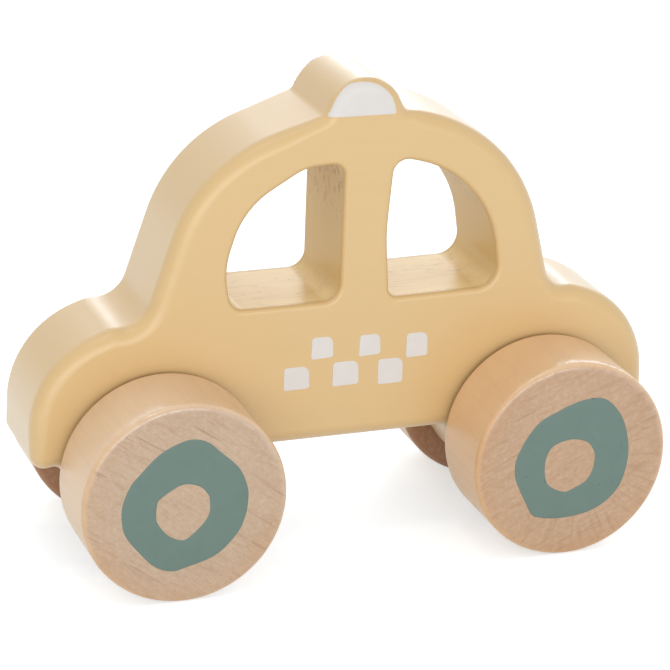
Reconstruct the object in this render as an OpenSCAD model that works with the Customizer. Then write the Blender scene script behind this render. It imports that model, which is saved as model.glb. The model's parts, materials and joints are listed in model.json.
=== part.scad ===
// Wooden toy taxi: a painted board with two grip windows and a roof light, on two glued wheelsets.
// +X is the rear, -Y the left side, +Z up. The origin is on the ground under the middle of the board.

/* [Board] */
// Length of the board over both hoods
body_len = 126.6; // [120:0.2:140]
// Thickness of the board
body_t = 23; // [18:0.5:28]
// Height of the flat underside above the axles
underside_h = 1.6; // [0.4:0.2:4]
// Distance that cabin and axles sit behind the middle of the board
set_back = 0.7; // [-1:0.1:1]
// Radius rounded onto the edges of the board
edge_r = 3.2; // [1:0.1:4]

/* [Hoods] */
// Height of both hoods above the underside
hood_h = 26.9; // [22:0.1:28]
// Height that the front hood falls down to its nose
front_nose_drop = 5.7; // [3:0.1:10]
// Height that the rear hood falls down to its nose
rear_nose_drop = 4.1; // [3:0.1:10]
// Length over which each hood falls down to its nose
nose_len = 15.9; // [12:0.1:18]
// Radius of the nose
nose_r = 19.8; // [8:0.2:20]
// Radius where the hood levels out
hood_r = 6; // [3:0.5:12]
// Radius of the lower front and rear corners
chin_r = 3; // [2:0.1:3]
// Radius of the hollow between the front hood and the cabin
front_hollow_r = 6.4; // [2:0.1:7]
// Radius of the hollow between the rear hood and the cabin
rear_hollow_r = 4.8; // [2:0.1:7]

/* [Cabin] */
// Length of the cabin at the height of the hoods
cabin_len = 83.4; // [78:0.2:86]
// Height of the roof above the underside, beside the light
roof_h = 65.8; // [62:0.2:72]
// Height that the roof falls down to the front brow
front_brow_drop = 8.1; // [5:0.1:12]
// Height that the roof falls down to the rear brow
rear_brow_drop = 4.5; // [2:0.1:8]
// Distance that the windscreen leans back up to the front brow
front_rake = 10.5; // [4:0.1:12]
// Distance that the rear screen leans forward up to the rear brow
rear_rake = 8.2; // [4:0.1:12]
// Radius of the front brow
front_brow_r = 30; // [15:0.5:32]
// Radius of the rear brow
rear_brow_r = 32; // [15:0.5:33]

/* [Roof light] */
// Diameter of the round top of the light
light_d = 15.6; // [12:0.1:17]
// Height of the light above the roof
light_h = 6.9; // [6.4:0.1:9]
// Distance of the light behind the middle of the cabin
light_x = 1.6; // [-4:0.1:4]
// Angle that each side of the light leans in
light_lean = 26; // [15:1:32]
// Radius where the light meets the roof
light_foot_r = 1.8; // [0.5:0.1:2]
// Radius rounded onto the edges of the light
light_edge_r = 2.4; // [1:0.1:3]

/* [Axle lugs] */
// Length of each lug where it meets the underside
lug_len = 38.4; // [34:0.2:38.4]
// Length of the foot of each lug between its corners
lug_foot_len = 21.4; // [20:0.2:26]
// Depth of each lug below the underside
lug_drop = 13.6; // [11:0.2:15]
// Radius of the lower corners of each lug
lug_r = 9; // [4:0.2:9]
// Radius where each lug meets the underside
lug_fillet_r = 2; // [1:0.1:2]

/* [Windows] */
// Width of each window opening
window_w = 23.3; // [18:0.1:25]
// Height of the window sills above the hoods
sill_rise = 1.9; // [0:0.1:6]
// Height of the roof above the windows
roof_beam_h = 9.7; // [8:0.1:16]
// Width of the pillar between the windows
pillar_w = 9.6; // [6:0.1:12]
// Distance of the pillar behind the middle of the cabin
pillar_x = 1.9; // [0:0.1:4]
// Radius rounded onto the edges of the windows
window_edge_r = 1.4; // [1:0.1:2.6]

/* [Wheels] */
// Diameter of the wheels
wheel_d = 40; // [36:0.5:46]
// Width of the wheels
wheel_t = 17.8; // [12:0.2:22]
// Distance between the axles
wheelbase = 78.3; // [74:0.1:80]
// Gap between each wheel and the board
wheel_gap = 0.7; // [0.4:0.1:3]
// Radius rounded onto the edges of the wheels
wheel_edge_r = 1.2; // [0.6:0.1:4]

/* [Axles] */
// Diameter of the dowel axles
axle_d = 8; // [5:0.5:10]
// Radial play of an axle in the board
axle_play = 0.1; // [0.05:0.01:0.3]
// Depth of the blind socket in each wheel
socket_depth = 12; // [6:0.5:12]
// Radial gap for glue in each socket
glue_gap = 0.04; // [0.02:0.01:0.1]
// Gap for glue beyond each end of an axle
axle_end_gap = 0.4; // [0.2:0.1:1]
// Chamfer on the ends of the axles
axle_chamfer = 0.8; // [0.2:0.1:1.5]

/* [Paint] */
// Thickness of the printed paint
film_t = 0.12; // [0.05:0.01:0.3]
// Size of one check
check_size = 5.1; // [3:0.1:6]
// Distance between the checks of one row
check_pitch = 9.7; // [8:0.1:12]
// Height of the upper row of checks over the lower row
check_rise = 5.6; // [5:0.1:8]
// Distance of the middle lower check behind the middle of the board
check_x = -0.8; // [-8:0.1:8]
// Height of the lower row of checks above the underside
check_h = 13.9; // [10:0.1:16]
// Radius of the corners of the checks
check_r = 0.9; // [0.2:0.1:1.2]
// Outer diameter of the rings on the wheels
ring_d = 24.8; // [16:0.1:28]
// Diameter of the bare middle of the rings
ring_hole_d = 11; // [6:0.1:12]
// Width of the bare rim of the roof light above its painted half disc
patch_rim = 1.2; // [0.4:0.1:3]
// Height of the half disc's straight lower rim above the middle of the light's round top
patch_rise = 0.6; // [0.2:0.1:1.5]
// Distance of the half disc behind the middle of the light
patch_x = -0.6; // [-1:0.1:1]

/* [Hidden] */
$fn = 64;
// Largest turn in degrees between two points of a curve
arc_step = 10;
// Facets across a rounded edge
edge_steps = 4;
// Distance that cuts run past a face
overrun = 1;
// Largest share of a corner's radius that its edge rounding may take
edge_limit_share = 0.85;
// Points of a painted outline between two given radii
blot_steps = 4;

axle_z = wheel_d/2;
underside_z = axle_z + underside_h;
hood_z = underside_z + hood_h;
roof_z = underside_z + roof_h;
light_z = roof_z + light_h;
lug_z = underside_z - lug_drop;
sill_z = hood_z + sill_rise;
window_h = roof_z - roof_beam_h - sill_z;
front_axle_x = set_back - wheelbase/2;
rear_axle_x = set_back + wheelbase/2;
light_r = light_d/2;
light_mid_x = set_back + light_x;
light_mid_z = light_z - light_r;
light_top_dx = light_r*tan((90 - light_lean)/2);
light_foot_dx = (light_r - (roof_z - light_mid_z)*sin(light_lean))/cos(light_lean);
patch_r = light_r - patch_rim;
wheel_y = body_t/2 + wheel_gap;
wheel_face_y = wheel_y + wheel_t;
axle_len = 2*(wheel_y + socket_depth - axle_end_gap);
pillar_mid_x = set_back + pillar_x;

// Corners of the front window from the pillar: distance, height and radius.
// Distances and radii are shares of the width, heights of the height.
front_window_shares = [
    [0, 0, 0.15], [-0.015, 1.01, 0.1], [0.315, 1, 0.42], [0.835, 0.74, 0.7], [1, 0.3, 0.7], [0.935, 0, 0.125]];
// The same for the rear window
rear_window_shares = [
    [0.02, -0.01, 0.08], [-0.015, 0.48, 1.7], [0.04, 1.03, 0.125], [0.87, 0.85, 0.95], [1.01, 0, 0.18]];

// Checks: place along the row in pitches, place in rises, width and height in check sizes
check_shares = [
    [-1.03, 0, 1.04, 0.92], [0, 0.01, 1.06, 0.98], [0.95, -0.06, 1, 1.02],
    [-0.5, 1.03, 0.9, 0.88], [0.5, 0.97, 0.88, 0.86], [1.51, 0.81, 0.88, 0.98]];

// Radii of the hand-brushed rings at equal angles, as shares of the ring's own radius
front_ring_shares = [1, 0.95, 1, 1.03, 0.93, 0.93, 0.98, 1.04, 1.08, 1.04, 0.99, 1.02];
front_hole_shares = [0.86, 0.78, 0.75, 0.71, 0.74, 0.85, 1.02, 1.15, 1.3, 1.35, 1.12, 1];
rear_ring_shares = [1.01, 0.98, 1.08, 0.96, 0.92, 0.93, 0.94, 0.96, 1.08, 1, 1, 1.04];
rear_hole_shares = [0.93, 0.89, 0.82, 0.74, 0.79, 0.88, 0.95, 1.08, 1.22, 1.22, 1.04, 0.97];

paint_yellow = [0.88, 0.75, 0.55];
paint_white = [0.92, 0.89, 0.86];
paint_teal = [0.45, 0.54, 0.5];
beech = [0.82, 0.69, 0.55];
dowel_beech = [0.78, 0.63, 0.47];

// A loop is a list of corners [x, z, radius, edge radius], anticlockwise seen from the left side.
function corner(loop, i) = loop[(i + len(loop)) % len(loop)];
function at(loop, i) = [corner(loop, i)[0], corner(loop, i)[1]];
function side(loop, i) = at(loop, i + 1) - at(loop, i);
function turn(loop, i) =
    let (a = side(loop, i - 1), b = side(loop, i))
    atan2(a.x*b.y - a.y*b.x, a*b);
function spun(v, angle) = [v.x*cos(angle) - v.y*sin(angle), v.x*sin(angle) + v.y*cos(angle)];
function arc_count(loop, i) = max(2, ceil(abs(turn(loop, i))/arc_step));
function arc_start(loop, i) = i == 0 ? 0 : arc_start(loop, i - 1) + arc_count(loop, i - 1) + 1;
// Length of the sides that corner i's arc takes, and the share of it that the sides leave room for
function reach(loop, i) = corner(loop, i)[2]*tan(abs(turn(loop, i))/2);
function room_share(loop, i) = min(
    1,
    norm(side(loop, i - 1))/(reach(loop, i - 1) + reach(loop, i)),
    norm(side(loop, i))/(reach(loop, i) + reach(loop, i + 1)));

// Points [x, z, normal x, normal z, edge radius] along a loop with its corners rounded
function rounded(loop) = [
    for (i = [0 : len(loop) - 1])
        let (
            along = side(loop, i - 1)/norm(side(loop, i - 1)),
            out = [along.y, -along.x],
            way = sign(turn(loop, i)),
            r = corner(loop, i)[2]*room_share(loop, i),
            e = way > 0 ? min(corner(loop, i)[3], r*edge_limit_share) : corner(loop, i)[3],
            mid = at(loop, i) - along*reach(loop, i)*room_share(loop, i) - out*r*way,
            n = arc_count(loop, i))
        for (k = [0 : n])
            let (normal = spun(out, turn(loop, i)*k/n), p = mid + normal*r*way)
            [p.x, p.y, normal.x, normal.y, e]];

// One ring of points around a board of thickness t, at an angle around its rounded edge on one side.
// With way 1 the edge is rounded off, with way -1 it flares out.
function edge_ring(path, t, hand, angle, way) = [
    for (p = path)
        let (d = way*p[4]*(1 - cos(angle)))
        [p[0] - p[2]*d, hand*(t/2 - p[4]*(1 - sin(angle))), p[1] - p[3]*d]];
function pushed(ring, dy) = [for (p = ring) p + [0, dy, 0]];
function edge_rings(path, t, way) = concat(
    [for (k = [0 : edge_steps]) edge_ring(path, t, -1, 90*(1 - k/edge_steps), way)],
    [for (k = [0 : edge_steps]) edge_ring(path, t, 1, 90*k/edge_steps, way)]);
function flat(lists) = [for (list = lists) for (item = list) item];

// A solid through equal rings of points. Each fan closes a patch of both ends around one hub point.
module ring_solid(rings, hubs, fans) {
    n = len(rings[0]);
    last = len(rings) - 1;
    first_hub = n*len(rings);
    walls = [
        for (j = [0 : last - 1]) for (i = [0 : n - 1])
            let (a = j*n + i, b = j*n + (i + 1) % n)
            each [[a, b, b + n], [a, b + n, a + n]]];
    ends = [
        for (h = [0 : len(hubs) - 1]) for (i = [0 : len(fans[h]) - 1])
            let (a = fans[h][i], b = fans[h][(i + 1) % len(fans[h])])
            each [
                [first_hub + h, b, a],
                [first_hub + len(hubs) + h, last*n + a, last*n + b]]];
    left_hubs = [for (h = hubs) [h.x, rings[0][0].y, h.y]];
    right_hubs = [for (h = hubs) [h.x, rings[last][0].y, h.y]];
    polyhedron(points = concat(flat(rings), left_hubs, right_hubs), faces = concat(walls, ends));
}

// Lower corners of the lug around one axle, from front to rear
function lug_corners(x) = [
    [x - lug_len/2, underside_z, lug_fillet_r, edge_r],
    [x - lug_foot_len/2, lug_z, lug_r, edge_r],
    [x + lug_foot_len/2, lug_z, lug_r, edge_r],
    [x + lug_len/2, underside_z, lug_fillet_r, edge_r]];

// Corners of one end of the board from the chin to the brow, with hand 1 at the rear and -1 at the front
function end_corners(hand, nose_drop, hollow_r, rake, brow_drop, brow_r) = [
    [hand*body_len/2, underside_z, chin_r, edge_r],
    [hand*body_len/2, hood_z - nose_drop, nose_r, edge_r],
    [hand*(body_len/2 - nose_len), hood_z, hood_r, edge_r],
    [set_back + hand*cabin_len/2, hood_z, hollow_r, edge_r],
    [set_back + hand*(cabin_len/2 - rake), roof_z - brow_drop, brow_r, edge_r]];

// Corners of the roof light from rear to front
light_corners = [
    [light_mid_x + light_foot_dx, roof_z, light_foot_r, light_edge_r],
    [light_mid_x + light_top_dx, light_z, light_r, light_edge_r],
    [light_mid_x - light_top_dx, light_z, light_r, light_edge_r],
    [light_mid_x - light_foot_dx, roof_z, light_foot_r, light_edge_r]];

front_end = end_corners(-1, front_nose_drop, front_hollow_r, front_rake, front_brow_drop, front_brow_r);
rear_end = end_corners(1, rear_nose_drop, rear_hollow_r, rear_rake, rear_brow_drop, rear_brow_r);
board_loop = concat(
    lug_corners(rear_axle_x),
    rear_end,
    light_corners,
    [for (i = [len(front_end) - 1 : -1 : 0]) front_end[i]],
    lug_corners(front_axle_x));
// Number of the light's first corner in the loop
light_at = len(lug_corners(rear_axle_x)) + len(rear_end);

// The flat sides fall into a rear, a middle and a front patch, each in full view of its own hub point.
module board() {
    path = rounded(board_loop);
    n = len(path);
    roof_rear = arc_start(board_loop, light_at) - 1;
    roof_front = arc_start(board_loop, light_at + len(light_corners));
    hub_z = (underside_z + hood_z)/2 + edge_r;
    ring_solid(
        edge_rings(path, body_t, 1),
        [[rear_axle_x, hub_z], [light_mid_x, sill_z], [front_axle_x, hub_z]],
        [
            [for (i = [0 : roof_rear]) i],
            concat([for (i = [roof_rear : roof_front]) i], [n - 1, 0]),
            [for (i = [roof_front : n - 1]) i]]);
}

// Corners of a window, with hand 1 for the rear and -1 for the front one
function window_loop(shares, hand) =
    let (
        corners = [
            for (s = shares) [
                pillar_mid_x + hand*(pillar_w/2 + s[0]*window_w),
                sill_z + s[1]*window_h,
                s[2]*window_w,
                window_edge_r]],
        last = len(corners) - 1)
    hand < 0 ? corners : [for (i = [last : -1 : 0]) corners[i]];

module window_cut(shares, hand) {
    path = rounded(window_loop(shares, hand));
    rings = edge_rings(path, body_t, -1);
    hub = [pillar_mid_x + hand*(pillar_w + window_w)/2, sill_z + window_h/2];
    ring_solid(
        concat([pushed(rings[0], -overrun)], rings, [pushed(rings[len(rings) - 1], overrun)]),
        [hub],
        [[for (i = [0 : len(path) - 1]) i]]);
}

module along_axle(x) translate([x, 0, axle_z]) rotate([90, 0, 0]) children();

module body() color(paint_yellow) difference() {
    board();
    window_cut(front_window_shares, -1);
    window_cut(rear_window_shares, 1);
    for (x = [front_axle_x, rear_axle_x])
        along_axle(x) cylinder(d = axle_d + 2*axle_play, h = body_t + 2*overrun, center = true);
}

module axle(x) color(dowel_beech) along_axle(x) rotate_extrude() polygon([
    [0, -axle_len/2],
    [axle_d/2 - axle_chamfer, -axle_len/2],
    [axle_d/2, axle_chamfer - axle_len/2],
    [axle_d/2, axle_len/2 - axle_chamfer],
    [axle_d/2 - axle_chamfer, axle_len/2],
    [0, axle_len/2]]);
module front_axle() axle(front_axle_x);
module rear_axle() axle(rear_axle_x);

// A wheel with its blind socket towards the board. Hand -1 is the left side of the car.
module wheel(x, hand) color(beech) along_axle(x) mirror([0, 0, hand < 0 ? 0 : 1])
    translate([0, 0, wheel_y]) difference() {
        rotate_extrude() polygon(concat(
            [[0, 0]],
            [for (k = [0 : edge_steps]) let (a = 90*k/edge_steps)
                [wheel_d/2 - wheel_edge_r*(1 - sin(a)), wheel_edge_r*(1 - cos(a))]],
            [for (k = [0 : edge_steps]) let (a = 90*k/edge_steps)
                [wheel_d/2 - wheel_edge_r*(1 - cos(a)), wheel_t - wheel_edge_r*(1 - sin(a))]],
            [[0, wheel_t]]));
        translate([0, 0, -overrun])
            cylinder(d = axle_d + 2*glue_gap, h = socket_depth + overrun);
    }
module wheel_front_left() wheel(front_axle_x, -1);
module wheel_front_right() wheel(front_axle_x, 1);
module wheel_rear_left() wheel(rear_axle_x, -1);
module wheel_rear_right() wheel(rear_axle_x, 1);

// Paint on a face at a distance y from the middle plane, drawn as seen from the left side
module paint(y, hand) mirror([0, hand < 0 ? 0 : 1, 0]) translate([0, -y, 0])
    rotate([90, 0, 0]) linear_extrude(height = film_t) children();

// Smooth closed outline through radii at equal angles
function blot(r, shares) = let (n = len(shares)) [
    for (i = [0 : n - 1]) for (k = [0 : blot_steps - 1])
        let (
            f = k/blot_steps,
            a = shares[(i + n - 1) % n],
            b = shares[i],
            c = shares[(i + 1) % n],
            d = shares[(i + 2) % n],
            s = b + f*((c - a) + f*((2*a - 5*b + 4*c - d) + f*(3*b - 3*c + d - a)))/2,
            angle = 360*(i + f)/n)
        r*s*[cos(angle), sin(angle)]];

module ring(x, hand, outer_shares, hole_shares) color(paint_teal) paint(wheel_face_y, hand)
    translate([x, axle_z]) difference() {
        polygon(blot(ring_d/2, outer_shares));
        polygon(blot(ring_hole_d/2, hole_shares));
    }
module ring_front_left() ring(front_axle_x, -1, front_ring_shares, front_hole_shares);
module ring_front_right() ring(front_axle_x, 1, front_ring_shares, front_hole_shares);
module ring_rear_left() ring(rear_axle_x, -1, rear_ring_shares, rear_hole_shares);
module ring_rear_right() ring(rear_axle_x, 1, rear_ring_shares, rear_hole_shares);

module checks(hand) color(paint_white) paint(body_t/2, hand)
    for (s = check_shares) {
        w = s[2]*check_size/2;
        h = s[3]*check_size/2;
        path = rounded([[-w, -h, check_r, 0], [w, -h, check_r, 0], [w, h, check_r, 0], [-w, h, check_r, 0]]);
        translate([check_x + s[0]*check_pitch, underside_z + check_h + s[1]*check_rise])
            polygon([for (p = path) [p[0], p[1]]]);
    }
module checks_left() checks(-1);
module checks_right() checks(1);

// The part of the board around the roof light, down to the roof
module light_block() {
    path = rounded(board_loop);
    first = arc_start(board_loop, light_at);
    last = arc_start(board_loop, light_at + len(light_corners)) - 1;
    bell = [for (i = [first : last]) path[i]];
    ring_solid(
        edge_rings(bell, body_t, 1),
        [[light_mid_x, light_mid_z]],
        [[for (i = [0 : len(bell) - 1]) i]]);
}

// A painted half disc that follows the rounded edge of the light, with a straight lower rim
module light_patch(hand) color(paint_white) mirror([0, hand < 0 ? 0 : 1, 0]) difference() {
    intersection() {
        translate([0, -film_t, 0]) light_block();
        translate([light_mid_x + patch_x, light_edge_r - body_t/2, light_mid_z + patch_rise])
            rotate([90, 0, 0]) intersection() {
                cylinder(r = patch_r, h = light_edge_r + overrun);
                translate([-patch_r, 0, 0]) cube([2*patch_r, patch_r, light_edge_r + overrun]);
            }
    }
    light_block();
}
module light_patch_left() light_patch(-1);
module light_patch_right() light_patch(1);

body();
front_axle();
rear_axle();
wheel_front_left();
wheel_front_right();
wheel_rear_left();
wheel_rear_right();
ring_front_left();
ring_front_right();
ring_rear_left();
ring_rear_right();
checks_left();
checks_right();
light_patch_left();
light_patch_right();
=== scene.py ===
"""Looks of a wooden toy taxi: a painted board with a roof light, rolling on two wooden wheelsets."""

import json
import math
from collections import namedtuple
from types import SimpleNamespace

import bpy
import numpy as np
from bpy.props import FloatProperty, FloatVectorProperty, PointerProperty
from mathutils import Matrix, Vector
from mathutils.geometry import delaunay_2d_cdt


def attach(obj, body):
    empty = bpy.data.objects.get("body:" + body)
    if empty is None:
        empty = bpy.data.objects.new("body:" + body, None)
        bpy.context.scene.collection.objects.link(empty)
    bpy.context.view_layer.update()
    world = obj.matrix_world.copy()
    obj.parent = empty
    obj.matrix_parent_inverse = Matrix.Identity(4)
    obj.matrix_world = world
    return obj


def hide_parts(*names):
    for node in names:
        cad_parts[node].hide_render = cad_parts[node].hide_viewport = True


bl_info = {
    "name": "Wooden toy taxi",
    "version": (1, 0, 0),
    "blender": (4, 5, 0),
    "location": "View3D > Sidebar > Taxi",
    "description": "Dresses the frame of a wooden toy taxi with paint, beech wheels and printed marks",
    "category": "Add Mesh",
}

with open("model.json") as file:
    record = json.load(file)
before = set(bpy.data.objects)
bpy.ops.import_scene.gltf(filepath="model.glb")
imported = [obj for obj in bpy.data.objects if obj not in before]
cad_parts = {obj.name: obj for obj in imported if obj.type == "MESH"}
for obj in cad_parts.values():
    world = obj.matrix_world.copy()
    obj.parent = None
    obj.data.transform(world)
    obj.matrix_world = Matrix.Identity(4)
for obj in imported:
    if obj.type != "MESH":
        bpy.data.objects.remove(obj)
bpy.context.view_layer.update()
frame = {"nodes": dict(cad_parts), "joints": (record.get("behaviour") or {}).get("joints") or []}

# Lengths are in millimetres, except where metres are named
MM = 0.001
FULL_TURN = 2 * math.pi
QUARTER_TURN = math.pi / 2
# Directions of both sides along Y
SIDES = (("left", -1), ("right", 1))
# Middle of each axle, rearwards and up
AXLES = {joint["child"].removesuffix("_wheelset"): (joint["pos_m"][0] / MM, joint["pos_m"][2] / MM)
         for joint in frame["joints"]}

# An end of the board: its direction along X, the fall of its nose, the radius of the hollow beside the
# cabin, the rake of the screen, and the fall and the radius of the brow
End = namedtuple("End", "hand nose_fall hollow rake brow_fall brow")
FRONT = End(hand=-1, nose_fall=5.7, hollow=6.4, rake=10.5, brow_fall=8.1, brow=30)
REAR = End(hand=1, nose_fall=4.1, hollow=4.8, rake=8.2, brow_fall=4.5, brow=32)
# Angle that each side of the roof light leans in
LIGHT_LEAN = math.radians(26)
# Height above the roof at which the tilt of the roof light sets in, and over which it grows
TILT_START = 0.6
TILT_GROWTH = 4
# Corners of the front and of the rear window from the pillar outwards: distance, height and radius, as
# shares of the window's width, height and width
WINDOW_SHARES = {
    -1: ((0, 0, 0.15), (-0.015, 1.01, 0.1), (0.315, 1, 0.42),
         (0.835, 0.74, 0.7), (1, 0.3, 0.7), (0.935, 0, 0.125)),
    1: ((0.02, -0.01, 0.08), (-0.015, 0.48, 1.7), (0.04, 1.03, 0.125),
        (0.87, 0.85, 0.95), (1.01, 0, 0.18)),
}
# Largest share of a corner's radius that its edge rounding may take
EDGE_LIMIT_SHARE = 0.85
# Length under which a straight stretch counts as none
NO_LENGTH = 1e-6
# Distance under which two points of an outline count as one
SAME_POINT = 1e-7

# Points around a wheel and around a painted ring
WHEEL_STEPS = 160
RING_STEPS = 360
# Points across a wheel's rounded edge, and along its tread between the edges
EDGE_POINTS = 13
TREAD_POINTS = 5
# Radii of the rows on a wheel's outer and inner face, as shares of the wheel's radius
FACE_SHARES = (0, 0.25, 0.55, 0.75)
INNER_SHARE = 0.6
# Radius of the row on the bottom of a wheel's socket, as a share of the socket's radius
BOTTOM_SHARE = 0.75
# Distance from the middle plane at which the grain of a wheel is centred
GRAIN_Y = 21
# Grain of the wheels: its angle on the left and on the right wheel, and the strength of dark lines and rays
Grain = namedtuple("Grain", "left right lines rays")
GRAIN = {
    "front": Grain(left=-0.62, right=0.28, lines=0.7, rays=0.0),
    "rear": Grain(left=0.4, right=1.3, lines=0.4, rays=0.45),
}

# Height of a paint film's lower side above the wood
FILM_GAP = 0.01
# Strength of the pits in the paint of the rings
RING_PITS = {"front": 0.3, "rear": 0.8}
# Distances from a ring's edge at which its film has a share of its height, and all of it
RING_RIM = 0.12
RING_RIM_SHARE = 0.8
RING_SHOULDER = 0.4
# Points of the brushed rings and of their holes from the wheel's middle, rearwards and up
RINGS = {
    "front": (
        ((12.1, -0.9), (12.0, 2.2), (10.3, 6.3), (6.5, 10.1), (4.0, 12.3), (1.0, 13.1), (-2.2, 12.3),
         (-5.4, 10.6), (-9.1, 7.0), (-10.8, 5.0), (-12.2, 1.7), (-12.5, -1.2), (-11.9, -4.6), (-9.8, -7.8),
         (-6.3, -11.7), (-2.9, -13.2), (0.3, -12.7), (5.9, -10.9), (9.9, -7.2), (11.5, -4.0)),
        ((4.6, 0.4), (4.3, 1.6), (3.0, 3.2), (0.9, 4.1), (-1.0, 4.1), (-2.9, 3.2), (-4.9, 1.9), (-5.6, 0.9),
         (-5.8, -2.1), (-5.0, -4.0), (-3.2, -6.0), (-0.6, -7.1), (1.5, -5.9), (3.7, -3.7), (4.6, -1.8)),
    ),
    "rear": (
        ((12.0, -0.2), (11.7, 3.2), (10.8, 6.6), (9.5, 9.1), (7.6, 11.3), (5.7, 12.4), (3.2, 12.6),
         (0.1, 12.0), (-3.0, 10.8), (-6.7, 9.1), (-8.9, 6.9), (-10.8, 3.8), (-11.9, 1.0), (-11.9, -2.1),
         (-11.0, -4.6), (-9.2, -8.4), (-8.0, -10.6), (-6.4, -11.4), (-3.0, -12.0), (0.8, -11.9),
         (4.5, -11.2), (7.6, -9.6), (10.1, -7.1), (11.4, -4.0)),
        ((4.8, 0.1), (4.5, 1.6), (3.2, 3.4), (0.8, 4.3), (-1.4, 4.3), (-3.9, 3.5), (-5.2, 1.9),
         (-5.7, -0.6), (-5.4, -3.4), (-4.2, -5.2), (-1.4, -6.5), (0.8, -5.9), (3.2, -4.6), (4.5, -2.4)),
    ),
}

# Corners of the print on the roof light, from its straight lower rim over its round top
LIGHT_PRINT = (
    (-5.6, 87.35), (8.0, 87.2), (7.85, 88.6), (7.25, 90.4), (6.1, 91.9), (4.5, 93.05), (2.9, 93.6),
    (0.95, 93.75), (-0.7, 93.5), (-1.8, 93.0), (-2.85, 92.0), (-3.5, 91.2), (-4.1, 90.2), (-4.8, 88.8))
# Radii of its two lower corners and of those along its top
LIGHT_PRINT_CORNER = 0.3
LIGHT_PRINT_ROUND = 3
# Each hand-cut check: front, rear, bottom, top, lean, radius of the upper rear corner
CHECKS = (
    (-13.5, -8.2, 33.1, 37.8, 0.1, 1.6),
    (-3.5, 1.9, 33.0, 38.0, 0.1, 1.5),
    (5.9, 11.0, 32.5, 37.7, 0.0, 1.6),
    (-8.0, -3.4, 39.0, 43.5, 0.2, 1.4),
    (1.8, 6.3, 38.7, 43.1, 0.2, 1.3),
    (11.6, 16.1, 37.5, 42.5, 0.1, 1.5),
)
# Radii of the other corners of a check: lower front, lower rear and upper front
CHECK_CORNERS = (0.45, 0.6, 0.7)


def size(label, text, value):
    """A length that a user may change, given in millimetres."""
    return FloatProperty(name=label, description=text, default=value * MM, min=0, subtype="DISTANCE",
                         unit="LENGTH", precision=5)


def paint(label, text, value):
    """A colour that a user may change, as linear red, green and blue."""
    return FloatVectorProperty(name=label, description=text, default=value, min=0, max=1, size=3,
                               subtype="COLOR")


def strength(label, text, value):
    """A strength of light that a user may change."""
    return FloatProperty(name=label, description=text, default=value, min=0)


class TaxiBoard(bpy.types.PropertyGroup):
    """Sizes of the board."""
    length: size("Length", "Length of the board over both hoods", 126.6)
    thickness: size("Thickness", "Thickness of the board", 23)
    edge: size("Edge radius", "Radius of the edges of the board", 3.2)
    set_back: size("Set-back", "Distance of the cabin behind the middle of the board", 0.7)
    underside: size("Underside", "Height of the flat underside above the ground", 21.6)
    hood: size("Hoods", "Height of both hoods above the ground", 48.5)
    nose_length: size("Nose length", "Length over which each hood falls to its nose", 15.9)
    nose_radius: size("Nose radius", "Radius of both noses", 19.8)
    hood_radius: size("Hood radius", "Radius where each hood levels out", 6)
    chin_radius: size("Chin radius", "Radius of the lower front and rear corners", 3)
    cabin_length: size("Cabin length", "Length of the cabin at the height of the hoods", 83.4)
    roof: size("Roof", "Height of the roof beside the light above the ground", 87.4)
    light_back: size("Light place", "Distance of the roof light behind the middle of the cabin", 1.6)
    light_radius: size("Light radius", "Radius of the round top of the roof light", 7.8)
    light_edge: size("Light edge radius", "Radius of the edges of the roof light", 2.4)
    light_foot: size("Light foot radius", "Radius where the roof light meets the roof", 1.8)
    light_top: size("Light", "Height of the roof light's top above the ground", 94.3)
    light_fall: size("Light fall", "Fall of the roof light from its left to its right side", 0.5)
    lug_length: size("Lug length", "Length of each axle lug at the underside", 38.4)
    lug_foot: size("Lug foot", "Length of each axle lug's foot between its corners", 21.4)
    lug_drop: size("Lug depth", "Depth of each axle lug below the underside", 13.6)
    lug_radius: size("Lug radius", "Radius of the lower corners of each axle lug", 9)
    lug_fillet: size("Lug fillet", "Radius where each axle lug meets the underside", 2)
    sill: size("Sills", "Height of the window sills above the ground", 50.4)
    pillar_back: size("Pillar place", "Distance of the pillar behind the middle of the cabin", 1.9)
    pillar_width: size("Pillar width", "Width of the middle pillar", 9.6)
    window_width: size("Window width", "Width of each window", 23.3)
    window_height: size("Window height", "Height of each window", 27.3)
    window_edge: size("Window edge radius", "Radius of the edges of the windows", 1.0)
    bore: size("Axle bore", "Diameter of the axle bores", 8.2)
    bore_edge: size("Bore edge radius", "Radius of the edges of the bores", 0.3)


class TaxiWheels(bpy.types.PropertyGroup):
    """Sizes of the wheels and of the printed paint."""
    diameter: size("Diameter", "Diameter of the wheels", 40)
    width: size("Width", "Width of the wheels", 17.8)
    inner_face: size("Inner face", "Distance of the inner face from the middle of the board", 12.2)
    edge: size("Edge radius", "Radius of the edges of the wheels", 1.2)
    socket: size("Socket", "Diameter of the blind socket for the axle", 8.08)
    socket_depth: size("Socket depth", "Depth of the blind socket", 12)
    chamfer: size("Chamfer", "Chamfer on the mouth of the socket", 0.4)
    film: size("Paint film", "Thickness of the printed paint", 0.1)


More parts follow.
